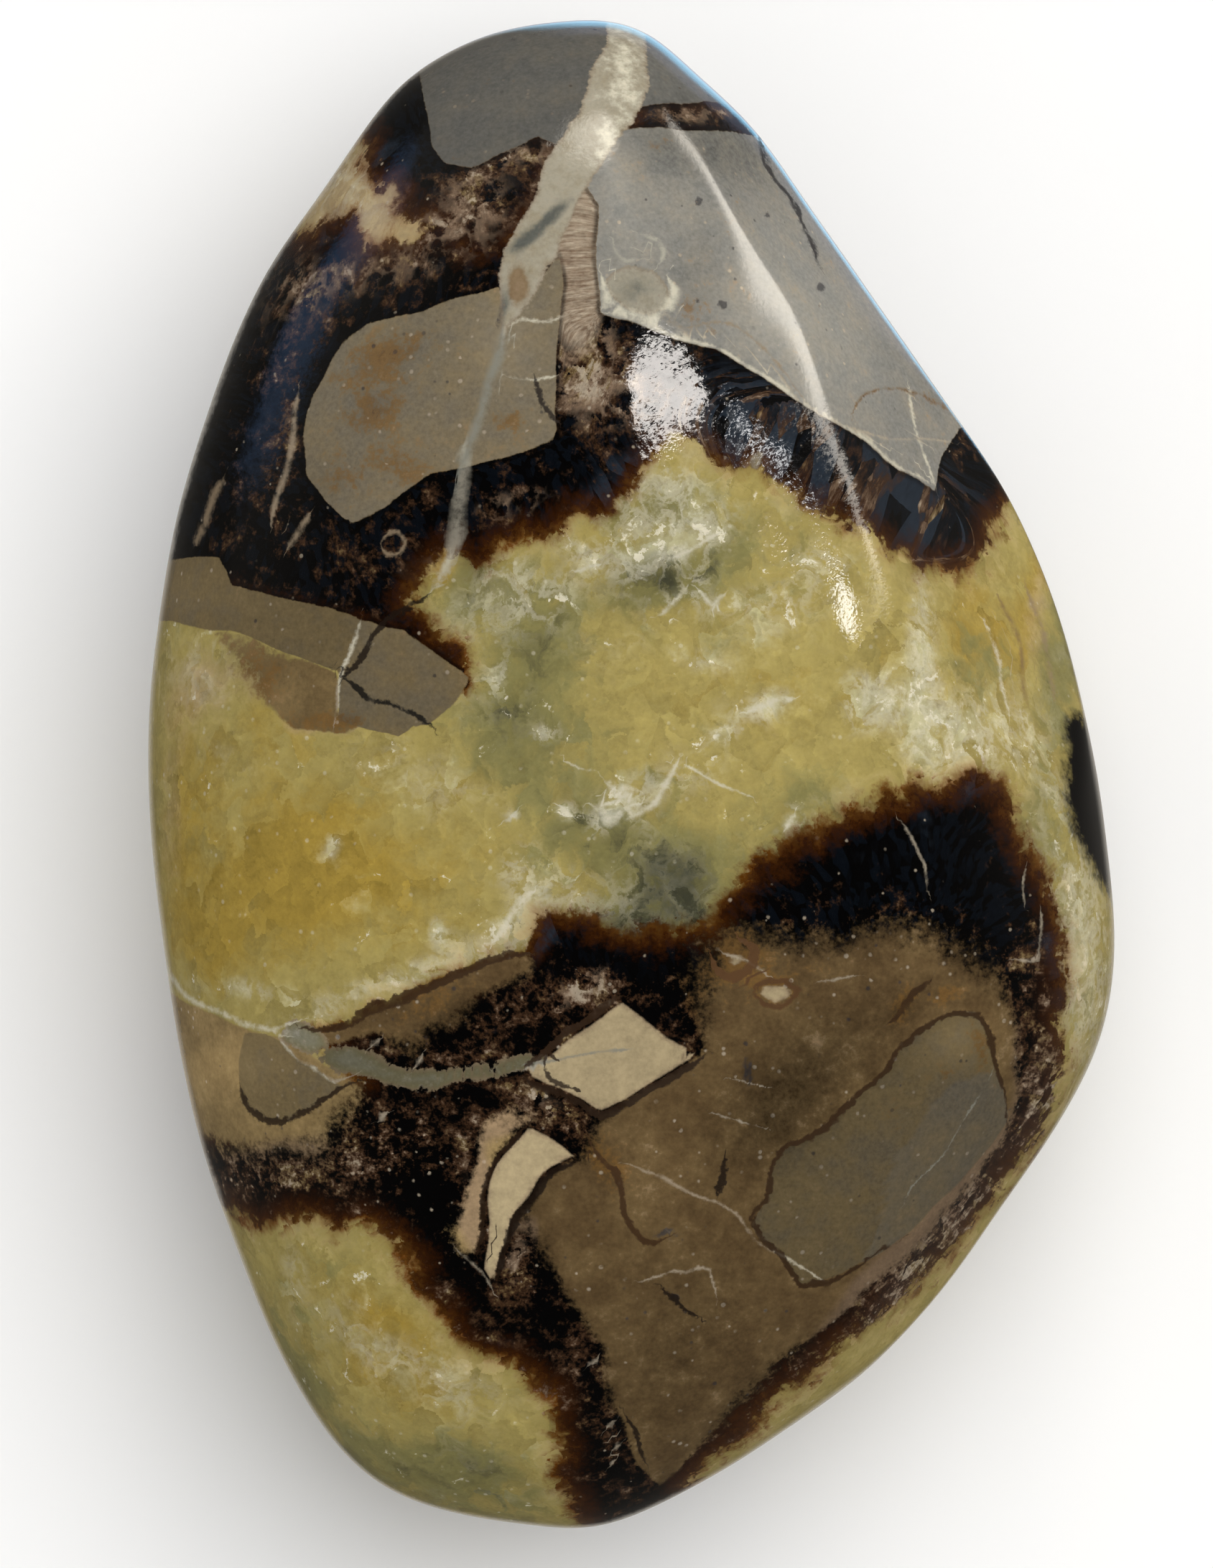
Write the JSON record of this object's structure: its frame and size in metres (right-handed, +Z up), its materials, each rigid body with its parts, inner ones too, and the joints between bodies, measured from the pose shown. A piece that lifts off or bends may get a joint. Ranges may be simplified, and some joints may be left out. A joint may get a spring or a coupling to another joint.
{
  "type": "septarian nodule",
  "caption": "Polished free-form septarian stone, a long rounded dome with a small flat ground on its back, where it lies.",
  "frame": {"origin": "under the middle of the stone, on the plane of the flat that it lies on", "axes": "+Z up through the show face, +Y to the narrow end along the stone's length, +X to the straight flanks"},
  "size_m": [0.0672, 0.105, 0.042],
  "materials": {
    "polished_septarian": "polished; grey-brown matrix blocks, honey and olive calcite, dark brown crystal lining and a cream vein"
  },
  "bodies": {
    "root": {"nodule": "polished_septarian"}
  },
  "joints": []
}
